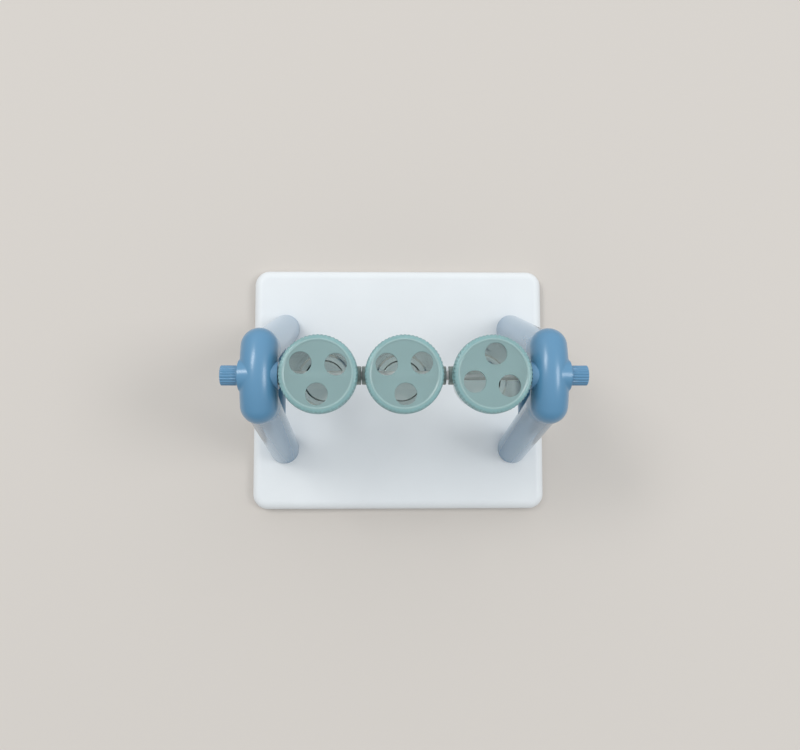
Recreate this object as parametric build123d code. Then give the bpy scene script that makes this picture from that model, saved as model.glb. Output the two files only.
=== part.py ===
from build123d import *
import math
import os

# Puzzle feeder for dogs. Three clear beakers with pierced lids hang on a rod between two
# A-shaped side frames, which stand on a wide base plate. The dog tips the beakers over with
# nose or paw, and treats drop out of the lids. Millimetres, +Z up. The origin is on the floor
# under the middle of the base, +X runs along the rod, and -Y is the front.

# ---- Base plate: a moulded tray, open below, with ribs, leg sockets and pads for the feet ----
base_side_margin = 36.1       # from a side frame's middle plane to the base's edge
base_depth = 273.5
base_top = 17.0               # top face, above the floor
base_rim = 2.0                # lower rim, above the floor
base_corner_radius = 17.0
base_edge_radius = 9.5        # rounding of the upper edge
base_wall = 2.8
base_roof = 3.0
base_inner_bevel = 5.0        # between the tray's wall and its roof, inside
rib_thickness = 2.0
rib_lift = 7.0                # the ribs end this far above the lower rim
rib_bays_x = 6
rib_bays_y = 5

# ---- Rubber feet, pressed into pads under the base's corners ----
rubber_diameter = 18.0
rubber_recess = 2.2
rubber_inset = 24.0           # from the base's edges to a foot's axis
rubber_edge = 0.8
pad_wall = 2.2

# ---- Side frames: an arched crown on two tube legs, tied by a cross bar ----
axle_height = 215.7           # rod's axis, above the floor
crown_step = 0.5              # the crown stands proud of the legs by this, all round
crown_half_length = 26.2      # from the rod to the centre of a rounded end
crown_arch = 5.0              # those centres lie this far below the rod's axis
collar_step = 0.3             # the collars round the leg tops are proud of the legs by this
collar_length = 24.0          # down a leg, from the rod's height to the collar's flat end
crown_spigot_length = 20.0
crown_core_depth = 27.0       # the spigots are cored out this deep
outer_boss_diameter = 27.4    # at its face
outer_boss_sink = 0.5         # its cone begins this far below the crown's skin
outer_boss_blend = 3.0        # radius between the cone and the crown
outer_boss_height = 0.4       # proud of the crown, beside the knob
inner_boss_diameter = 24.6
inner_boss_height = 0.8       # proud of the crown, beside the beakers
stub_pocket = 1.9             # a beaker's stub reaches this deep into that boss
boss_edge = 0.3

leg_diameter = 33.0
leg_wall = 2.5
leg_rim_edge = 0.5
leg_offset = 20.5             # from the middle to a leg's axis, at the rod's height
foot_spread = 68.0            # the same at the base's top face
foot_floor = 6.0              # solid plastic between the base's top face and the leg's hollow
foot_spigot_diameter = 22.0
foot_spigot_length = 8.2
socket_wall = 2.6
socket_floor = 2.5

bar_diameter = 32.0
bar_drop = 69.0               # from the rod's axis down to the bar's axis
bar_spigot_diameter = 18.0
bar_spigot_length = 7.0       # past the leg's nearest face

# ---- Screws that hold the legs from below ----
screw_diameter = 4.0
screw_length = 20.0
screw_head_diameter = 8.4
screw_head_height = 2.6
screw_head_edge = 0.9

# ---- Rod and its two knobs ----
rod_diameter = 8.0
rod_tip_diameter = 6.0        # end under a knob
rod_tip_length = 10.5
rod_tip_edge = 0.8
knob_diameter = 18.0
knob_length = 15.5
knob_flutes = 20
flute_diameter = 1.9
flute_depth = 0.55
knob_neck = 1.2               # plain ring beside the frame
knob_edge = 0.5

# ---- Beakers, left, middle and right on the rod ----
cup_rim = 19.9                # above the rod's axis
cup_floor = -72.0
cup_rim_radius = 31.0
cup_taper = 4.0               # the floor's radius is smaller by this
cup_wall = 2.0
cup_heel_radius = 7.0
cup_dome = 2.5                # the floor is pushed up by this much inside its foot ring
cup_ring_width = 4.5
shoulder_height = 1.6         # stop ring under the lid
shoulder_reach = 2.5          # past the rim's radius
stub_diameter = 16.7
stub_bore = 12.5
stub_end_wall = 2.6
stub_edge = 0.5
stub_reach = 2.7              # the stubs reach past the lid by this much, each side
lug_height = 2.0
lug_reach = 1.6
lug_arc = 44.0
cup_gaps = (0.3, 0.5, 2.1, 0.3)      # play on the rod, from the left frame to the right one
cup_turns = (0.0, 0.0, 180.0)        # the right beaker was put on the rod half a turn round

# ---- Lids: bayonet caps with three treat holes and a knurled skirt ----
lid_height = 11.8
lid_roof = 2.4
lid_wall = 1.05
lid_recess = 0.5              # the face lies this far below the bead round it
lid_bead = 0.3                # flat crest of that bead
lid_bead_slope = 1.3          # from the crest in to the face
lid_shoulder_radius = 3.7
knurl_height = 0.6
knurl_ridges = 60
knurl_lead = 0.7              # plain lip below and above the knurl
ledge_height = 1.8
ledge_arc = 44.0
hole_diameter = 19.2
hole_margin = 1.5             # from a hole to the face's edge
lid_holes = 3
first_hole = 30.0             # angle of a lid's first hole, seen from above
lid_turns = (-2.6, 2.4, -7.0)        # how far each lid is turned on its beaker as it stands

# ---- Clearances ----
knob_gap = 0.4                # between a knob and the frame's boss
running_clearance = 0.05      # all round the rod in its bores
plug_clearance = 0.15         # all round a spigot in its socket
saddle_clearance = 0.15       # between the bar's hollowed ends and the legs
turn_clearance = 0.35         # between lid and beaker, all round and below the lugs
seat_clearance = 0.2          # between the beaker's rim and the lid's roof
rubber_clearance = 0.1
overshoot = 1.0               # a cutter runs this far past the face that it opens
overlap = 0.5                 # what is added to a wall is sunk this far into it

# ---- Worked out from the sizes above ----
full_turn = 360.0
lid_bore_radius = cup_rim_radius + lug_reach + turn_clearance
skirt_radius = lid_bore_radius + lid_wall
lid_diameter = 2 * (skirt_radius + knurl_height)
plain_radius = skirt_radius * math.cos(math.pi / knurl_ridges)
face_radius = plain_radius - lid_shoulder_radius - lid_bead - lid_bead_slope
hole_circle_radius = face_radius - hole_margin - hole_diameter / 2
lid_top = cup_rim + seat_clearance + lid_roof + lid_recess
lid_bottom = lid_top - lid_height
cup_span = lid_diameter + 2 * stub_reach

crown_diameter = leg_diameter + 2 * crown_step
stub_stop = (len(cup_turns) * cup_span + sum(cup_gaps)) / 2
boss_face = stub_stop - stub_pocket
frame_x = boss_face + inner_boss_height + crown_diameter / 2
outer_face = frame_x + crown_diameter / 2 + outer_boss_height
base_width = 2 * (frame_x + base_side_margin)
rod_shoulder = outer_face + knob_gap
rod_bore = rod_diameter / 2 + running_clearance

arch_radius = (crown_half_length ** 2 + crown_arch ** 2) / (2 * crown_arch)
arch_turn = math.degrees(math.asin(crown_half_length / arch_radius))
collar_start = arch_radius - math.sqrt(arch_radius ** 2 - leg_offset ** 2)
leg_run = foot_spread - leg_offset
leg_drop = axle_height - base_top
leg_lean = math.degrees(math.atan2(leg_run, leg_drop))
leg_length = math.hypot(leg_run, leg_drop)
socket_radius = foot_spigot_diameter / 2 + plug_clearance
socket_depth = foot_spigot_length + plug_clearance
socket_underside = base_top - socket_depth - socket_floor


def down(x, y, z, radius, height):
    """Upright cylinder whose top face is centred on the point."""
    return Pos(x, y, z) * Cylinder(radius, height, align=(Align.CENTER, Align.CENTER, Align.MAX))


def along_rod(start, end, radius):
    """Cylinder on the rod's axis, from one place along X to another."""
    middle = Pos((start + end) / 2, 0, axle_height)
    return middle * Rot(0, 90, 0) * Cylinder(radius, end - start)


def along_leg(start, length, radius):
    """Cylinder on the right back leg's axis; start is counted from the rod's height."""
    lean = math.radians(leg_lean)
    direction = Vector(0, math.sin(lean), -math.cos(lean))
    origin = Vector(frame_x, leg_offset, axle_height) + direction * start
    plane = Plane(origin=origin, x_dir=(1, 0, 0), z_dir=direction)
    return plane * Cylinder(radius, length, align=(Align.CENTER, Align.CENTER, Align.MIN))


def front_and_back(shape):
    """The shape and its mirror image at the front."""
    return [shape, mirror(shape, Plane.XZ)]


def four_ways(shape):
    """The shape and its mirror images, front and back, left and right."""
    pair = front_and_back(shape)
    return pair + [mirror(one, Plane.YZ) for one in pair]


def slab(inset, bottom, top):
    """Plate with round corners, drawn in from the base's outline, and its upper edges."""
    outline = RectangleRounded(
        base_width - 2 * inset, base_depth - 2 * inset, base_corner_radius - inset
    )
    block = extrude(Pos(0, 0, bottom) * outline, top - bottom)
    return block, block.faces().sort_by(Axis.Z)[-1].edges()


def rib_grid(inner):
    """Crossing ribs under the base's roof, trimmed to the tray's hollow."""
    low = base_rim + rib_lift
    height = base_top - base_roof / 2 - low
    ribs = []
    for step in range(1, rib_bays_x):
        x = base_width * (step / rib_bays_x - 0.5)
        ribs.append(Pos(x, 0, low + height / 2) * Box(rib_thickness, base_depth, height))
    for step in range(1, rib_bays_y):
        y = base_depth * (step / rib_bays_y - 0.5)
        ribs.append(Pos(0, y, low + height / 2) * Box(base_width, rib_thickness, height))
    return Part() + ribs & inner


def base_plate():
    """White tray: roof, wall, ribs, four leg sockets and four pads for the feet."""
    block, upper_edges = slab(0, base_rim, base_top)
    outer = fillet(upper_edges, base_edge_radius)
    block, upper_edges = slab(base_wall, base_rim, base_top - base_roof)
    hollow = chamfer(upper_edges, base_inner_bevel)
    tray = outer - hollow + rib_grid(hollow)

    roof_middle = base_top - base_roof / 2
    post_radius = socket_radius + socket_wall
    post = down(frame_x, foot_spread, roof_middle, post_radius, roof_middle - socket_underside)
    screw_hole = down(frame_x, foot_spread, base_top, screw_diameter / 2 + plug_clearance,
                      base_top)
    head_room = down(frame_x, foot_spread, socket_underside,
                     screw_head_diameter / 2 + plug_clearance, socket_underside)
    socket = down(frame_x, foot_spread, base_top, socket_radius, socket_depth)

    pad_x = base_width / 2 - rubber_inset
    pad_y = base_depth / 2 - rubber_inset
    pad = down(pad_x, pad_y, roof_middle, rubber_diameter / 2 + pad_wall,
               roof_middle - base_rim)
    recess = down(pad_x, pad_y, base_rim + rubber_recess,
                  rubber_diameter / 2 + rubber_clearance, rubber_recess)
    added = four_ways(post) + four_ways(pad)
    removed = four_ways(screw_hole) + four_ways(head_room) + four_ways(socket)
    return tray + added - removed - four_ways(recess)


def rubber_foot():
    """Round pad with a bevelled tread, at the right back corner."""
    top = base_rim + rubber_recess
    foot = down(base_width / 2 - rubber_inset, base_depth / 2 - rubber_inset, top,
                rubber_diameter / 2, top)
    return chamfer(foot.edges().sort_by(Axis.Z)[0], rubber_edge)


def crown_bar():
    """Arched round bar of the right crown, with ball ends, crossing over the rod's axis."""
    radius = crown_diameter / 2
    arch_centre = Pos(frame_x, 0, axle_height - arch_radius)
    section = Plane.XZ * Pos(0, arch_radius) * Circle(radius)
    bar = arch_centre * Rot(-arch_turn, 0, 0) * revolve(section, Axis.X, 2 * arch_turn)
    ball = Pos(frame_x, crown_half_length, axle_height - crown_arch) * Sphere(radius)
    return bar + front_and_back(ball)


def crown():
    """Moulded head of the right side frame: the arched bar, two bosses round the rod, the
    inner one with a pocket for a beaker's stub, and two hollow spigots that plug the legs."""
    spigot_radius = leg_diameter / 2 - leg_wall - plug_clearance
    spigot_end = collar_length + crown_spigot_length
    boss_out = Pos(frame_x, 0, axle_height) * Rot(0, 90, 0) * Cone(
        crown_diameter / 2 - outer_boss_sink, outer_boss_diameter / 2, outer_face - frame_x,
        align=(Align.CENTER, Align.CENTER, Align.MIN)
    )
    boss_out = chamfer(boss_out.edges().sort_by(Axis.X)[-1], boss_edge)
    head = crown_bar() + boss_out
    head = fillet(head.edges().filter_by(GeomType.BSPLINE), outer_boss_blend)
    boss_in = along_rod(boss_face, frame_x, inner_boss_diameter / 2)
    head += chamfer(boss_in.edges().sort_by(Axis.X)[0], boss_edge)

    collar = along_leg(collar_start, collar_length - collar_start,
                       leg_diameter / 2 + collar_step)
    leg_room = along_leg(collar_length, leg_diameter, leg_diameter / 2 + plug_clearance)
    spigot = along_leg(collar_start, spigot_end - collar_start, spigot_radius)
    core = along_leg(spigot_end - crown_core_depth, crown_core_depth, spigot_radius - leg_wall)
    head -= front_and_back(leg_room)
    head += front_and_back(collar + spigot)
    head -= front_and_back(core)
    head -= along_rod(boss_face - overshoot, stub_stop, stub_diameter / 2 + turn_clearance)
    return head - along_rod(boss_face, outer_face + overshoot, rod_bore)


def bar_axis_reach():
    """How far the cross bar's axis runs before it meets a leg's axis."""
    return leg_offset + bar_drop * leg_run / leg_drop


def bar_pin(clearance):
    """Round pin on the cross bar's axis, reaching into both legs: a spigot, or its bore."""
    half = bar_axis_reach() - leg_diameter / 2 + bar_spigot_length + clearance
    place = Pos(frame_x, 0, axle_height - bar_drop) * Rot(90, 0, 0)
    return place * Cylinder(bar_spigot_diameter / 2 + clearance, 2 * half)


def cross_bar():
    """Round bar between the legs of the right frame, with saddle ends and spigots."""
    bar_z = axle_height - bar_drop
    saddle = along_leg(0, leg_length, leg_diameter / 2 + saddle_clearance)
    bar = Pos(frame_x, 0, bar_z) * Rot(90, 0, 0) * Cylinder(
        bar_diameter / 2, 2 * bar_axis_reach()
    )
    bar -= front_and_back(saddle)
    middle = bar.solids().sort_by_distance((frame_x, 0, bar_z))[0]
    return Part() + middle + bar_pin(0)


def leg():
    """Right back leg: a tube from the crown's collar to a closed foot with a spigot."""
    radius = leg_diameter / 2
    tube = along_leg(collar_length, leg_length, radius)
    hollow = along_leg(collar_length - overshoot, leg_length, radius - leg_wall)
    above_base = Pos(frame_x, 0, base_top) * Box(
        2 * crown_diameter, base_depth, axle_height,
        align=(Align.CENTER, Align.CENTER, Align.MIN)
    )
    above_floor = Pos(0, 0, foot_floor) * above_base
    spigot = down(frame_x, foot_spread, base_top, foot_spigot_diameter / 2, foot_spigot_length)
    upper_rim = (tube & above_base).edges().sort_by(Axis.Z)[-1]
    body = chamfer(upper_rim, leg_rim_edge)
    body = body - (hollow & above_floor) + spigot - bar_pin(plug_clearance)
    pilot = down(frame_x, foot_spread, socket_underside + screw_length, screw_diameter / 2,
                 screw_length)
    return body - pilot


def leg_screw():
    """Pan-head screw, from below into the right back leg."""
    head = down(frame_x, foot_spread, socket_underside, screw_head_diameter / 2,
                screw_head_height)
    head = chamfer(head.edges().sort_by(Axis.Z)[0], screw_head_edge)
    return head + down(frame_x, foot_spread, socket_underside + screw_length,
                       screw_diameter / 2, screw_length)


def axle_rod():
    """White rod that carries the beakers, stepped down at both ends for the knobs."""
    tip_end = rod_shoulder + rod_tip_length
    tips = along_rod(-tip_end, tip_end, rod_tip_diameter / 2)
    end_edges = tips.edges().filter_by(GeomType.CIRCLE)
    return chamfer(end_edges, rod_tip_edge) + along_rod(
        -rod_shoulder, rod_shoulder, rod_diameter / 2
    )


def knob():
    """Fluted cap nut on the rod's right end."""
    face = rod_shoulder + knob_length
    body = along_rod(rod_shoulder, face, knob_diameter / 2)
    body = chamfer(body.edges().sort_by(Axis.X)[-1], knob_edge)
    flute_offset = knob_diameter / 2 + flute_diameter / 2 - flute_depth
    flute = Pos(0, 0, flute_offset) * along_rod(
        rod_shoulder + knob_neck, face + overshoot, flute_diameter / 2
    )
    to_rod = Pos(0, 0, axle_height)
    flutes = []
    for i in range(knob_flutes):
        turn = Rot(full_turn * i / knob_flutes, 0, 0)
        flutes.append(to_rod * turn * to_rod.inverse() * flute)
    bore = along_rod(rod_shoulder - overshoot, rod_shoulder + rod_tip_length + plug_clearance,
                     rod_tip_diameter / 2 + running_clearance)
    return body - flutes - bore


def ring_sector(inner, outer, bottom, height, arc, turn):
    """Part of a flat ring round the beaker's axis, centred on the angle turn."""
    section = Pos((inner + outer) / 2, bottom + height / 2) * Rectangle(outer - inner, height)
    return Rot(0, 0, turn - arc / 2) * revolve(Plane.XZ * section, Axis.Z, arc)


def cup_form(inset, floor, rim, soften):
    """Tapered solid of the beaker, drawn in by the inset, its heel softened as asked."""
    slope = cup_taper / (cup_rim - cup_floor)
    low = cup_rim_radius - slope * (cup_rim - floor) - inset
    high = cup_rim_radius - slope * (cup_rim - rim) - inset
    profile = make_face(Polyline((0, floor), (low, floor), (high, rim), (0, rim), close=True))
    heel = profile.vertices().sort_by_distance((low, floor, 0))[0]
    return revolve(Plane.XZ * soften(heel, cup_heel_radius - inset), Axis.Z)


def cup():
    """Clear beaker about its own axis, with the rod's axis through the origin."""
    across = Rot(0, 90, 0)
    stubs = across * Cylinder(stub_diameter / 2, cup_span)
    shell = cup_form(0, cup_floor, cup_rim, fillet)
    shell += chamfer(stubs.edges().filter_by(GeomType.CIRCLE), stub_edge)
    shell += down(0, 0, lid_bottom - turn_clearance, cup_rim_radius + shoulder_reach,
                  shoulder_height)
    lug_bottom = lid_bottom + ledge_height + 2 * turn_clearance
    for i in range(lid_holes):
        shell += ring_sector(cup_rim_radius - cup_wall / 2, cup_rim_radius + lug_reach,
                             lug_bottom, lug_height, lug_arc, full_turn * i / lid_holes)
    shell -= cup_form(cup_wall, cup_floor + cup_wall + cup_dome, cup_rim + overshoot, chamfer)
    dish_radius = cup_rim_radius - cup_taper - cup_heel_radius / 2 - cup_ring_width / 2
    shell -= Pos(0, 0, cup_floor) * Cone(
        dish_radius, dish_radius - cup_dome, cup_dome,
        align=(Align.CENTER, Align.CENTER, Align.MIN)
    )
    shell -= across * Cylinder(stub_bore / 2, cup_span - 2 * stub_end_wall)
    return shell - across * Cylinder(rod_bore, cup_span + 2 * overshoot)


def knurl_outline():
    """Star-shaped outline of the knurled skirt, with one point for each ridge."""
    points = []
    for i in range(2 * knurl_ridges):
        radius = lid_diameter / 2 if i % 2 else skirt_radius
        angle = math.pi * i / knurl_ridges
        points.append((radius * math.cos(angle), radius * math.sin(angle)))
    return make_face(Polyline(*points, close=True))


def lid():
    """Bayonet lid about the beaker's axis, closed."""
    blank = make_face(Polyline((0, lid_bottom), (plain_radius, lid_bottom),
                               (plain_radius, lid_top), (0, lid_top), close=True))
    corner = blank.vertices().sort_by_distance((plain_radius, lid_top, 0))[0]
    cap = revolve(Plane.XZ * fillet(corner, lid_shoulder_radius), Axis.Z)
    knurl_bottom = lid_bottom + knurl_lead
    knurl_top = lid_top - lid_shoulder_radius - knurl_lead
    cap += extrude(Pos(0, 0, knurl_bottom) * knurl_outline(), knurl_top - knurl_bottom)
    cap -= Pos(0, 0, lid_top) * Cone(face_radius, face_radius + 2 * lid_bead_slope,
                                     2 * lid_recess)
    inner_height = lid_height - lid_roof - lid_recess
    cap -= down(0, 0, lid_bottom + inner_height, lid_bore_radius, inner_height + overshoot)
    for i in range(lid_holes):
        third = full_turn * i / lid_holes
        cap += ring_sector(cup_rim_radius + turn_clearance, lid_bore_radius + overlap,
                           lid_bottom, ledge_height, ledge_arc, third)
        place = Rot(0, 0, first_hole + third) * Pos(hole_circle_radius, 0, lid_top)
        cap -= place * Cylinder(hole_diameter / 2, hole_diameter)
    return cap


def cup_places():
    """X of each beaker's axis, from left to right."""
    places = []
    edge = -stub_stop
    for gap in cup_gaps[:-1]:
        places.append(edge + gap + cup_span / 2)
        edge += gap + cup_span
    return places


def save(name, shape):
    """Write one node."""
    shape.label = name
    export_step(shape, f"parts/{name}.step")


os.makedirs("parts", exist_ok=True)

save("base_plate", base_plate())
corners = ("right_back", "right_front", "left_back", "left_front")
for corner_name, foot in zip(corners, four_ways(rubber_foot())):
    save(f"rubber_foot_{corner_name}", foot)
for corner_name, one_leg in zip(corners, four_ways(leg())):
    save(f"leg_{corner_name}", one_leg)
save("leg_screws", Compound(children=four_ways(leg_screw())))

head = crown()
bar = cross_bar()
end_knob = knob()
for side, flip in (("right", False), ("left", True)):
    for name, shape in (("crown", head), ("cross_bar", bar), ("knob", end_knob)):
        save(f"{name}_{side}", mirror(shape, Plane.YZ) if flip else shape)
save("axle_rod", axle_rod())

beaker = cup()
cap = lid()
sides = ("left", "middle", "right")
for cup_name, x, cup_turn, lid_turn in zip(sides, cup_places(), cup_turns, lid_turns):
    place = Pos(x, 0, axle_height) * Rot(0, 0, cup_turn)
    save(f"cup_{cup_name}", place * beaker)
    save(f"lid_{cup_name}", place * Rot(0, 0, lid_turn) * cap)
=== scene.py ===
import bmesh
import bpy
import math
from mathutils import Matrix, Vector


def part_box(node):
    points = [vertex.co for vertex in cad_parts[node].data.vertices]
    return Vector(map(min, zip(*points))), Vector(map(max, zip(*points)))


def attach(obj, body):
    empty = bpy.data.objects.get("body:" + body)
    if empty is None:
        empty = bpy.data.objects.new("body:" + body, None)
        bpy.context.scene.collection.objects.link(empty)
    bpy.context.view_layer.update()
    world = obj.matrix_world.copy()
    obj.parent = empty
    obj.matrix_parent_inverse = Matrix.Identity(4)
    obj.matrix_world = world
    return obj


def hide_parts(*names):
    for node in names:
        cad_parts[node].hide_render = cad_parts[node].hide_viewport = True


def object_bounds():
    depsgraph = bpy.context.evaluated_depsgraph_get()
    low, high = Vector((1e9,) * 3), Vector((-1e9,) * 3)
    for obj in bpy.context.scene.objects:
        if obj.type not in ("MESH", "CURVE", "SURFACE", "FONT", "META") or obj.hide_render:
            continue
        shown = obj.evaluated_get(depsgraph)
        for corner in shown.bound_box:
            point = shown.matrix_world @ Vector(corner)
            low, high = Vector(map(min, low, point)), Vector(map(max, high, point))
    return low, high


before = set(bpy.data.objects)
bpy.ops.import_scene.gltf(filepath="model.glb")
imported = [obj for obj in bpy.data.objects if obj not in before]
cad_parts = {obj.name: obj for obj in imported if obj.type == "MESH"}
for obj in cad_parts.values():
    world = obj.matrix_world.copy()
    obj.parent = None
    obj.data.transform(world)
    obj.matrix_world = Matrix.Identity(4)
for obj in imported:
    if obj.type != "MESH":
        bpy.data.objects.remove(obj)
cad_low, cad_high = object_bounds()
scene = bpy.context.scene
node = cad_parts

# The camera hangs about 0.9 m above the floor and looks down on the beakers' lids, a little
# from the front. A small shift sets the feeder's place in the picture.
camera_place = (-0.0250, -0.0527, 0.9072)
camera_tilt = (3.88, -1.32, -0.08)
camera_focal = 35.12
camera_sensor = 36.0
camera_shift = (0.0066, 0.0088)
camera_near = 0.01
camera = bpy.data.objects.new("overhead_camera", bpy.data.cameras.new("overhead_camera"))
camera.location = camera_place
camera.rotation_euler = [math.radians(angle) for angle in camera_tilt]
camera.data.lens = camera_focal
camera.data.sensor_width = camera_sensor
camera.data.shift_x, camera.data.shift_y = camera_shift
camera.data.clip_start = camera_near
scene.collection.objects.link(camera)
scene.camera = camera
scene.view_settings.view_transform = "Standard"

# The room: a plain pale floor and a white sky, brighter overhead and behind. A soft window
# high on the left and behind gives the tubes their highlights, and one on the right is weaker.
floor_colour = (0.62, 0.58, 0.54, 1)
floor_roughness = 0.8
floor_reach = 4
sky_colour = (0.96, 0.985, 1.0, 1)
sky_bright_side = (0, 0.6, 0.8)
sky_dim_edge = -0.3
sky_dimmest = 0.38
sky_brightest = 1.07


def shader_node(tree, kind, inputs, **settings):
    """New node of a tree, with its settings made first and then each input set or linked."""
    made = tree.nodes.new(kind)
    for setting, value in settings.items():
        setattr(made, setting, value)
    for name, value in inputs.items():
        if isinstance(value, bpy.types.NodeSocket):
            tree.links.new(value, made.inputs[name])
        else:
            made.inputs[name].default_value = value
    return made


def soft_window(name, place, size, power, colour):
    """Rectangular soft light that faces the middle of the feeder."""
    lamp = bpy.data.lights.new(name, "AREA")
    lamp.shape = "RECTANGLE"
    lamp.size, lamp.size_y = size
    lamp.energy = power
    lamp.color = colour
    holder = bpy.data.objects.new(name, lamp)
    holder.location = place
    aim = (cad_low + cad_high) / 2 - holder.location
    holder.rotation_euler = aim.to_track_quat("-Z", "Y").to_euler()
    scene.collection.objects.link(holder)


floor_corners = [(-floor_reach, -floor_reach, 0), (floor_reach, -floor_reach, 0),
                 (floor_reach, floor_reach, 0), (-floor_reach, floor_reach, 0)]
floor_mesh = bpy.data.meshes.new("floor")
floor_mesh.from_pydata(floor_corners, [], [(0, 1, 2, 3)])
floor = bpy.data.objects.new("floor", floor_mesh)
scene.collection.objects.link(floor)
floor_finish = bpy.data.materials.new("floor_finish")
floor_finish.use_nodes = True
floor_shader = floor_finish.node_tree.nodes["Principled BSDF"]
floor_shader.inputs["Base Color"].default_value = floor_colour
floor_shader.inputs["Roughness"].default_value = floor_roughness
floor_mesh.materials.append(floor_finish)

sky = bpy.data.worlds.new("sky")
scene.world = sky
sky.use_nodes = True
sky_light = sky.node_tree.nodes["Background"]
sky_light.inputs["Color"].default_value = sky_colour
sky_place = shader_node(sky.node_tree, "ShaderNodeTexCoord", {})
bright_side = shader_node(sky.node_tree, "ShaderNodeVectorMath", {
    0: sky_place.outputs["Generated"], 1: sky_bright_side}, operation="DOT_PRODUCT")
sky_level = shader_node(sky.node_tree, "ShaderNodeMapRange", {
    "Value": bright_side.outputs["Value"], "From Min": sky_dim_edge,
    "To Min": sky_dimmest, "To Max": sky_brightest})
sky.node_tree.links.new(sky_level.outputs["Result"], sky_light.inputs["Strength"])

soft_window("back_left_window", place=(-1.75, 1.30, 3.0), size=(1.2, 0.8), power=27,
            colour=(1.0, 0.99, 0.97))
soft_window("right_window", place=(2.2, 0.15, 2.9), size=(1.3, 1.0), power=24,
            colour=(0.98, 0.99, 1.0))

# The base plate is one moulded tray of satin white plastic, rounded at its upper edge, with
# ribs and sockets below. Its skin has the fine grain of a sparked mould.
clouds_per_metre = 22.0
cloud_detail = 3.0
tone_spread = 0.03
polish_spread = 0.10
grain_detail = 2.0
grain_strength = 0.35
sink_strength = 0.5
sink_depth = 0.0004


def moulded_plastic(name, colour, roughness, grain_size, grain_depth):
    """Plastic from a mould: fine grain, slight sink waves and a finish that varies a little."""
    finish = bpy.data.materials.new(name)
    finish.use_nodes = True
    tree = finish.node_tree
    shader = tree.nodes["Principled BSDF"]
    place = shader_node(tree, "ShaderNodeTexCoord", {}).outputs["Object"]
    cloud = shader_node(tree, "ShaderNodeTexNoise", {
        "Vector": place, "Scale": clouds_per_metre, "Detail": cloud_detail}).outputs["Fac"]
    tone = shader_node(tree, "ShaderNodeMix", {
        "Factor": cloud, "A": [part * (1 - tone_spread) for part in colour] + [1],
        "B": [min(part * (1 + tone_spread), 1) for part in colour] + [1]}, data_type="RGBA")
    polish = shader_node(tree, "ShaderNodeMapRange", {
        "Value": cloud, "To Min": roughness * (1 - polish_spread),
        "To Max": roughness * (1 + polish_spread)})
    grain = shader_node(tree, "ShaderNodeTexNoise", {
        "Vector": place, "Scale": 1 / grain_size, "Detail": grain_detail})
    bump = shader_node(tree, "ShaderNodeBump", {
        "Height": grain.outputs["Fac"], "Strength": grain_strength, "Distance": grain_depth})
    sink = shader_node(tree, "ShaderNodeBump", {
        "Height": cloud, "Normal": bump.outputs["Normal"], "Strength": sink_strength,
        "Distance": sink_depth})
    tree.links.new(tone.outputs["Result"], shader.inputs["Base Color"])
    tree.links.new(polish.outputs["Result"], shader.inputs["Roughness"])
    tree.links.new(sink.outputs["Normal"], shader.inputs["Normal"])
    return finish


def paint(piece, finish):
    """Gives a piece the one finish, in place of any that it has."""
    piece.data.materials.clear()
    piece.data.materials.append(finish)


white_plastic = moulded_plastic("white_plastic", colour=(0.77, 0.80, 0.82), roughness=0.42,
                                grain_size=0.0007, grain_depth=0.00002)
paint(node["base_plate"], white_plastic)

# The four feet are soft dark rubber plugs, pressed into pads under the corners.
corners = ("right_back", "right_front", "left_back", "left_front")
rubber = moulded_plastic("foot_rubber", colour=(0.10, 0.105, 0.11), roughness=0.8,
                         grain_size=0.0005, grain_depth=0.00004)
for corner in corners:
    paint(node["rubber_foot_" + corner], rubber)


# The legs are glossy blue tubes, extruded and cut to length. Their skin mirrors the base
# and the room when one looks along them.
def coat(finish, weight, roughness):
    """Adds the clear gloss that a smooth moulded or extruded skin has."""
    shader = finish.node_tree.nodes["Principled BSDF"]
    shader.inputs["Coat Weight"].default_value = weight
    shader.inputs["Coat Roughness"].default_value = roughness


tube_plastic = moulded_plastic("tube_plastic", colour=(0.115, 0.25, 0.39), roughness=0.22,
                               grain_size=0.0012, grain_depth=0.000005)
coat(tube_plastic, weight=0.65, roughness=0.10)
for corner in corners:
    paint(node["leg_" + corner], tube_plastic)

# One pan-head screw holds each leg from below. It is zinc-plated steel, with a cross recess
# in its head and a coarse thread that cuts its way into the leg's foot.
head_radius = 0.0042
head_height = 0.0026
head_middle = 0.0004
head_flat = 0.55
head_side = 0.45
recess_mouth = (0.0026, 0.0006)
recess_floor = (0.0014, 0.0004)
recess_depth = 0.0013
recess_overshoot = 0.0003
thread_pitch = 0.0014
thread_length = 0.0196
thread_profile = ((0.15, 0.74), (0.55, 0.74), (0.80, 1), (0.90, 1))
shank_radius = 0.0020
tip_turns = 2
tip_share = 0.5
screw_facets = 32
sharp_angle = 35


def soft_profile(corner_points, steps):
    """Outline through corners (radius, height, rounding), each rounded by an arc."""
    outline = []
    for i, (radius, height, rounding) in enumerate(corner_points):
        here = Vector((radius, height))
        if rounding == 0:
            outline.append(here)
            continue
        before = (Vector(corner_points[i - 1][:2]) - here).normalized()
        after = (Vector(corner_points[i + 1][:2]) - here).normalized()
        half = before.angle(after) / 2
        centre = here + (before + after).normalized() * rounding / math.sin(half)
        start = (here + before * rounding / math.tan(half) - centre).normalized()
        end = (here + after * rounding / math.tan(half) - centre).normalized()
        outline += [centre + start.slerp(end, step / steps) * rounding
                    for step in range(steps + 1)]
    return outline


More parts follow.
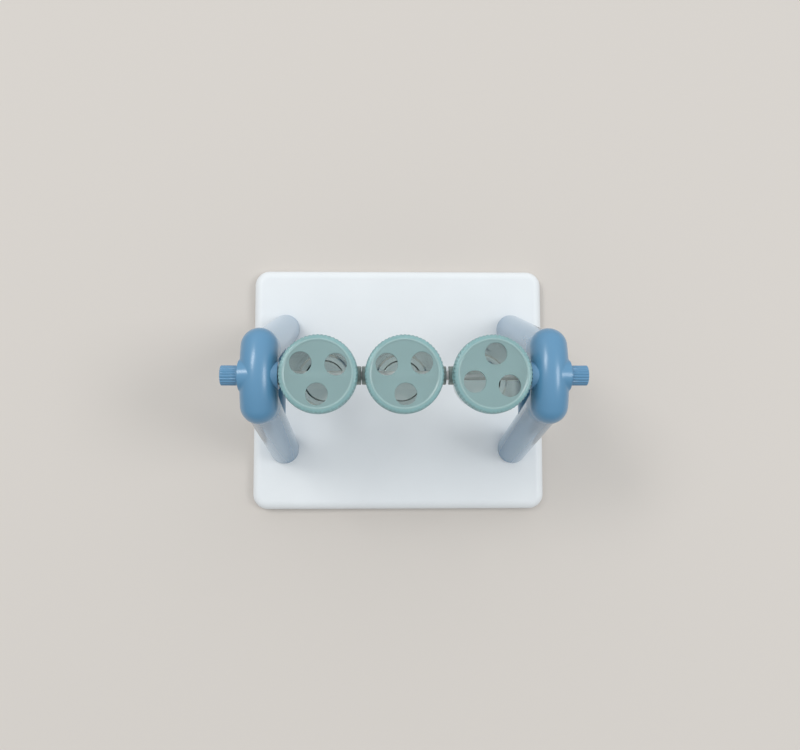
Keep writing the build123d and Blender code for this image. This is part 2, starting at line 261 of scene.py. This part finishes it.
def turned(name, outline, around, reach=lambda radius, height, turn: radius):
    """Closed body turned about Z from an outline, with a flat cap at each end of it."""
    form = bmesh.new()
    rings = []
    for radius, height in outline:
        ring = []
        for i in range(around):
            turn = 2 * math.pi * i / around
            far = reach(radius, height, turn)
            ring.append(form.verts.new((far * math.cos(turn), far * math.sin(turn), height)))
        rings.append(ring)
    for ring, following in zip(rings, rings[1:]):
        for i in range(around):
            j = (i + 1) % around
            form.faces.new((ring[i], ring[j], following[j], following[i]))
    form.faces.new(rings[0])
    form.faces.new(rings[-1])
    bmesh.ops.recalc_face_normals(form, faces=form.faces)
    mesh = bpy.data.meshes.new(name)
    form.to_mesh(mesh)
    form.free()
    return mesh


def cut_away(mesh, tool_mesh):
    """The mesh with the tool cut out of it, shaded smooth but for its flats and sharp edges."""
    body = bpy.data.objects.new(mesh.name, mesh)
    tool = bpy.data.objects.new("cutting_tool", tool_mesh)
    scene.collection.objects.link(body)
    scene.collection.objects.link(tool)
    cut = body.modifiers.new("cut", "BOOLEAN")
    cut.operation = "DIFFERENCE"
    cut.solver = "EXACT"
    cut.object = tool
    graph = bpy.context.evaluated_depsgraph_get()
    result = bpy.data.meshes.new_from_object(body.evaluated_get(graph))
    for used in (body, tool):
        bpy.data.objects.remove(used)
    result.name = mesh.name
    result.shade_smooth()
    result.set_sharp_from_angle(angle=math.radians(sharp_angle))
    for facet in result.polygons:
        facet.use_smooth = len(facet.vertices) <= 4
    return result


def cross_tool():
    """Tapered cross that the driver's tip presses into a screw's head."""
    form = bmesh.new()
    for crosswise in (False, True):
        rings = []
        for (length, width), depth in ((recess_mouth, -recess_overshoot),
                                       (recess_floor, recess_depth)):
            ring = []
            for x, y in ((length, width), (-length, width), (-length, -width), (length, -width)):
                if crosswise:
                    x, y = y, -x
                ring.append(form.verts.new((x, y, depth)))
            rings.append(ring)
        for i in range(4):
            j = (i + 1) % 4
            form.faces.new((rings[0][i], rings[0][j], rings[1][j], rings[1][i]))
        form.faces.new(rings[0])
        form.faces.new(rings[1])
    bmesh.ops.recalc_face_normals(form, faces=form.faces)
    mesh = bpy.data.meshes.new("cross_tool")
    form.to_mesh(mesh)
    form.free()
    return mesh


def screw_mesh():
    """Screw with its head below height zero and its thread above, as it sits under a leg."""
    outline = soft_profile([
        (head_middle, -head_height, 0), (head_radius * head_flat, -head_height, 0.0008),
        (head_radius, -head_height * head_side, 0.0006), (head_radius, 0, 0.0002),
        (shank_radius, 0, 0)], steps=4)
    turns = round(thread_length / thread_pitch)
    for k in range(turns):
        into_tip = max(0, k - turns + 1 + tip_turns) / tip_turns
        narrowing = 1 - tip_share * into_tip
        outline += [Vector((shank_radius * across * narrowing,
                            thread_pitch * k + thread_pitch * along))
                    for along, across in thread_profile]
    body = turned("leg_screw", outline, screw_facets)
    tool = cross_tool()
    for point in tool.vertices:
        point.co.z -= head_height
    return cut_away(body, tool)


steel = moulded_plastic("screw_steel", colour=(0.55, 0.55, 0.56), roughness=0.35,
                        grain_size=0.0004, grain_depth=0.00001)
steel.node_tree.nodes["Principled BSDF"].inputs["Metallic"].default_value = 1.0
screw_form = screw_mesh()
low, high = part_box("leg_screws")
for corner in corners:
    side, end = corner.split("_")
    x = high[0] - head_radius if side == "right" else low[0] + head_radius
    y = high[1] - head_radius if end == "back" else low[1] + head_radius
    screw = bpy.data.objects.new("leg_screw_" + corner, screw_form.copy())
    screw.location = (x, y, low[2] + head_height)
    scene.collection.objects.link(screw)
    paint(screw, steel)
    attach(screw, "stand")
    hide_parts("leg_screws")

# The crowns and cross bars are moulded in the same blue, with a satin skin. A crown's
# collars sit on the leg tops, and the bar's hollowed ends lie against the tubes.
blue_plastic = moulded_plastic("blue_plastic", colour=(0.084, 0.245, 0.415), roughness=0.33,
                               grain_size=0.0009, grain_depth=0.00001)
coat(blue_plastic, weight=0.6, roughness=0.20)
for side in ("left", "right"):
    paint(node["crown_" + side], blue_plastic)
    paint(node["cross_bar_" + side], blue_plastic)

# The rod is a smooth light grey plastic bar, stepped down at its ends for the knobs.
rod_low, rod_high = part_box("axle_rod")
rod_height = (rod_low[2] + rod_high[2]) / 2
rod_plastic = moulded_plastic("rod_plastic", colour=(0.92, 0.93, 0.92), roughness=0.22,
                              grain_size=0.0006, grain_depth=0.00001)
coat(rod_plastic, weight=0.6, roughness=0.03)
paint(node["axle_rod"], rod_plastic)

# The knobs are blue cap nuts, moulded with twenty flutes for the fingers. A plain ring next
# to the frame closes the flutes, and the outer face is dished a little.
knob_radius = 0.0090
knob_length = 0.0155
knob_neck = 0.0012
knob_rounding = 0.0003
dish_radius = knob_radius * 0.66
dish_edge = knob_radius * 0.72
dish_depth = 0.0003
flute_depth = 0.0007
flute_fade = 0.0006
flute_power = 1.5
flute_count = 20
facets_per_flute = 16
tip_bore = 0.00305
tip_depth = 0.01065
knob_middle = tip_bore * 0.2
knob_sharp_angle = 45


def fade(distance, span):
    """Rises evenly from 0 to 1 over a span, and stays at 0 before it and at 1 past it."""
    return min(max(distance / span, 0), 1)


def fluted(radius, height, turn):
    """Reach of a knob's skin, hollowed by the flutes between its neck and its outer face."""
    if radius < knob_radius * 0.9:
        return radius
    wave = 0.5 + 0.5 * math.cos(flute_count * turn)
    return radius - flute_depth * wave ** flute_power * fade(height - knob_neck, flute_fade)


def knob_mesh():
    """Knob about Z, from its seat beside the frame at height zero to its outer face."""
    outline = soft_profile([
        (knob_middle, tip_depth, 0), (tip_bore, tip_depth, knob_rounding),
        (tip_bore, 0, knob_rounding), (knob_radius, 0, knob_rounding),
        (knob_radius, knob_neck * 0.98, 0), (knob_radius, knob_neck + flute_fade / 3, 0),
        (knob_radius, knob_neck + flute_fade * 2 / 3, 0), (knob_radius, knob_neck + flute_fade, 0),
        (knob_radius, knob_length / 2, 0), (knob_radius, knob_length, 0.0005),
        (dish_edge, knob_length, knob_rounding),
        (dish_radius, knob_length - dish_depth, knob_rounding),
        (knob_middle, knob_length - dish_depth, 0)], steps=4)
    mesh = turned("knob", outline, facets_per_flute * flute_count, fluted)
    mesh.shade_smooth()
    mesh.set_sharp_from_angle(angle=math.radians(knob_sharp_angle))
    return mesh


knob_form = knob_mesh()
for side, outward in (("left", -1), ("right", 1)):
    low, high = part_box("knob_" + side)
    seat = high[0] if side == "left" else low[0]
    knob = bpy.data.objects.new("fluted_knob_" + side, knob_form.copy())
    knob.location = (seat, 0, (low[2] + high[2]) / 2)
    knob.rotation_euler = (0, math.radians(90 * outward), 0)
    scene.collection.objects.link(knob)
    paint(knob, blue_plastic)
    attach(knob, "axle")
    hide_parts("knob_" + side)

# The beakers are moulded in smoke-tinted clear plastic, with a stub on each side for the
# rod, a stop ring under the lid and three lugs for its bayonet. Their walls are clear, and
# the thick stubs round the rod look nearly solid.
clear_index = 1.49
stub_outside = 0.0092
stub_blend = 0.0004
stub_clearness = 0.50
wall_clearness = 0.98
stub_smoke = (0.32, 0.42, 0.40, 1)
wall_smoke = (0.46, 0.535, 0.515, 1)


def distance_from(tree, point, across):
    """Output of the distance from the axis through a point. The axis runs along X, Y or Z,
    which is 0 in across, and the other two are 1."""
    place = shader_node(tree, "ShaderNodeTexCoord", {})
    aside = shader_node(tree, "ShaderNodeVectorMath", {
        0: place.outputs["Object"], 1: point}, operation="SUBTRACT")
    flat = shader_node(tree, "ShaderNodeVectorMath", {
        0: aside.outputs["Vector"], 1: across}, operation="MULTIPLY")
    distance = shader_node(tree, "ShaderNodeVectorMath", {
        0: flat.outputs["Vector"]}, operation="LENGTH")
    return distance.outputs["Value"]


def tint(finish, tone):
    """Multiplies a finish's own colour, which is nearly white, by a tone."""
    base = finish.node_tree.nodes["Principled BSDF"].inputs["Base Color"]
    mixed = shader_node(finish.node_tree, "ShaderNodeMix", {
        "Factor": 1.0, "A": tone, "B": base.links[0].from_socket},
        data_type="RGBA", blend_type="MULTIPLY")
    finish.node_tree.links.new(mixed.outputs["Result"], base)


clear = moulded_plastic("clear_plastic", colour=(0.97, 0.97, 0.97), roughness=0.06,
                        grain_size=0.004, grain_depth=0.00001)
clear_tree = clear.node_tree
clear_shader = clear_tree.nodes["Principled BSDF"]
clear_shader.inputs["IOR"].default_value = clear_index
in_wall = shader_node(clear_tree, "ShaderNodeMapRange", {
    "Value": distance_from(clear_tree, point=(0, 0, rod_height), across=(0, 1, 1)),
    "From Min": stub_outside - stub_blend, "From Max": stub_outside}).outputs["Result"]
clearness = shader_node(clear_tree, "ShaderNodeMapRange", {
    "Value": in_wall, "To Min": stub_clearness, "To Max": wall_clearness})
smoke = shader_node(clear_tree, "ShaderNodeMix", {
    "Factor": in_wall, "A": stub_smoke, "B": wall_smoke}, data_type="RGBA")
clear_tree.links.new(clearness.outputs["Result"], clear_shader.inputs["Transmission Weight"])
tint(clear, smoke.outputs["Result"])
for side in ("left", "middle", "right"):
    paint(node["cup_" + side], clear)

# The lids are bayonet caps of pale, slightly translucent turquoise plastic. Three treat
# holes pierce the recessed face, a bead runs round it, and fine ridges give the skirt grip.
lid_turns = {"left": -2.6, "middle": 2.4, "right": 173.0}
lid_top = 0.0230
lid_bottom = 0.0112
face_depth = 0.0005
roof_thickness = 0.0024
face = lid_top - face_depth
roof_underside = face - roof_thickness
skirt_radius = 0.0337
lip_radius = 0.0346
lip_height = 0.0011
bore_radius = 0.03295
bore_rounding = 0.0012
face_radius = 0.02865
face_rounding = 0.0004
bead_radius = 0.03010
bead_rounding = 0.0003
bead_foot = 0.0007
shoulder = lid_top - 0.00045
shoulder_rounding = 0.0029
ridge_height = 0.0007
ridge_count = 60
ridge_power = 0.8
ridge_start = 0.0004
ridge_runout = 0.0009
ridge_end = lid_top - 0.0006
ring_spacing = 0.0005
facets_per_ridge = 8
hole_radius = 0.0096
hole_circle = 0.017553
hole_count = 3
hole_easing = 0.0004
easing_steps = 4
hole_overshoot = 0.001
hole_facets = 72
first_hole = 30.0
ledge_inner = 0.03135
ledge_height = 0.0018
ledge_arc = 44.0
ledge_spacing = 120
lid_index = 1.45
lid_clearness = 0.50
ramp_reach = 0.04
# The lid's colour by distance from its axis: face, then bead, then rim. The bead's lighter tone is
# a painted highlight, the shine its crest catches from the sky and windows all round.
face_tone = (0.385, 0.560, 0.565, 1)
bead_highlight_tone = (0.55, 0.78, 0.785, 1)
rim_tone = (0.40, 0.655, 0.67, 1)
lid_tones_and_bead_highlight = ((0.0288, face_tone), (0.0297, bead_highlight_tone), (0.0305, bead_highlight_tone), (0.0312, rim_tone))


def knurled(radius, height, turn):
    """Reach of the lid's skin: ridges outside, from the lip up to the shoulder, and inside
    the three ledges of the bayonet, next to the lower edge."""
    hair = 0.00001
    if radius < bore_radius + hair and height < roof_underside + hair:
        half = ledge_spacing / 2
        beside = abs((math.degrees(turn) + half) % ledge_spacing - half)
        low_in_bore = radius > bore_radius - hair and height < lid_bottom + ledge_height + hair
        return ledge_inner if low_in_bore and beside < ledge_arc / 2 else radius
    low = fade(height - lid_bottom - lip_height, ridge_start)
    high = fade(ridge_end - height, ridge_runout)
    wave = abs(math.sin(ridge_count * turn / 2)) ** ridge_power
    return radius + ridge_height * wave * low * high


def hole_tool(turn):
    """Round cutter for the treat hole at a turn about the lid's axis, eased at both faces."""
    outline = [Vector((hole_radius + hole_easing, lid_top + hole_overshoot))]
    for step in range(easing_steps + 1):
        swing = math.radians(90 * step / easing_steps)
        outline.append(Vector((hole_radius + hole_easing * (1 - math.sin(swing)),
                               face - hole_easing * (1 - math.cos(swing)))))
    outline += [Vector((hole_radius, roof_underside + hole_easing / 2)),
                Vector((hole_radius + hole_easing / 2, roof_underside)),
                Vector((hole_radius + hole_easing / 2, roof_underside - hole_overshoot))]
    tool = turned("hole_tool", outline, hole_facets)
    for point in tool.vertices:
        point.co.x += hole_circle * math.cos(turn)
        point.co.y += hole_circle * math.sin(turn)
    return tool


def lid_mesh():
    """Lid about the beaker's axis, with the rod's axis at height zero. Its upright skirt has
    a ring every half millimetre, so that the ridges can fade along it."""
    outline = soft_profile([
        (face_radius - 0.0009, face, 0), (face_radius - 0.0006, face, 0),
        (face_radius, face, face_rounding), (bead_radius - bead_rounding, lid_top, bead_rounding),
        (bead_radius + bead_rounding, lid_top, bead_rounding),
        (bead_radius + bead_foot, shoulder, bead_rounding),
        (skirt_radius, shoulder, shoulder_rounding),
        (skirt_radius, lid_bottom + lip_height, 0.0002),
        (lip_radius, lid_bottom + lip_height, 0.0003), (lip_radius, lid_bottom, 0.0004),
        (bore_radius, lid_bottom, 0), (bore_radius, lid_bottom + ledge_height, 0),
        (bore_radius, lid_bottom + ledge_height + 0.0001, 0),
        (bore_radius, roof_underside, bore_rounding), (bore_radius - 0.0020, roof_underside, 0),
        (bore_radius - 0.0025, roof_underside, 0)], steps=6)
    dense = [outline[0]]
    for point in outline[1:]:
        gap = point - dense[-1]
        upright = abs(gap.x) < 0.0002 and point.x > skirt_radius - 0.0002
        pieces = 1
        if upright and abs(gap.y) > 2 * ring_spacing:
            pieces = round(abs(gap.y) / ring_spacing)
        dense += [dense[-1] + gap * (k + 1) / pieces for k in range(pieces)]
    body = turned("lid", dense, facets_per_ridge * ridge_count, knurled)
    for i in range(hole_count):
        body = cut_away(body, hole_tool(math.radians(first_hole + 360 / hole_count * i)))
    return body


teal = moulded_plastic("teal_plastic", colour=(0.97, 0.97, 0.97), roughness=0.22,
                       grain_size=0.0008, grain_depth=0.00001)
teal_tree = teal.node_tree
teal_shader = teal_tree.nodes["Principled BSDF"]
teal_shader.inputs["Transmission Weight"].default_value = lid_clearness
teal_shader.inputs["IOR"].default_value = lid_index
# The tone ramp paints the bead ring lighter than the face and rim, as a painted highlight round
# each lid.
in_ramp = shader_node(teal_tree, "ShaderNodeMath", {
    0: distance_from(teal_tree, point=(0, 0, 0), across=(1, 1, 0)), 1: ramp_reach},
    operation="DIVIDE")
lid_tone_and_bead_highlight = shader_node(teal_tree, "ShaderNodeValToRGB", {"Fac": in_ramp.outputs["Value"]})
stops = lid_tone_and_bead_highlight.color_ramp.elements
for i, (radius, tone) in enumerate(lid_tones_and_bead_highlight):
    stop = stops[i] if i < 2 else stops.new(radius / ramp_reach)
    stop.position = radius / ramp_reach
    stop.color = tone
tint(teal, lid_tone_and_bead_highlight.outputs["Color"])
lid_form = lid_mesh()
for side in ("left", "middle", "right"):
    low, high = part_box("cup_" + side)
    lid = bpy.data.objects.new("lid_" + side + "_cap", lid_form.copy())
    lid.location = ((low[0] + high[0]) / 2, 0, rod_height)
    lid.rotation_euler = (0, 0, math.radians(lid_turns[side]))
    scene.collection.objects.link(lid)
    paint(lid, teal)
    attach(lid, "cap_" + side)
    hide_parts("lid_" + side)
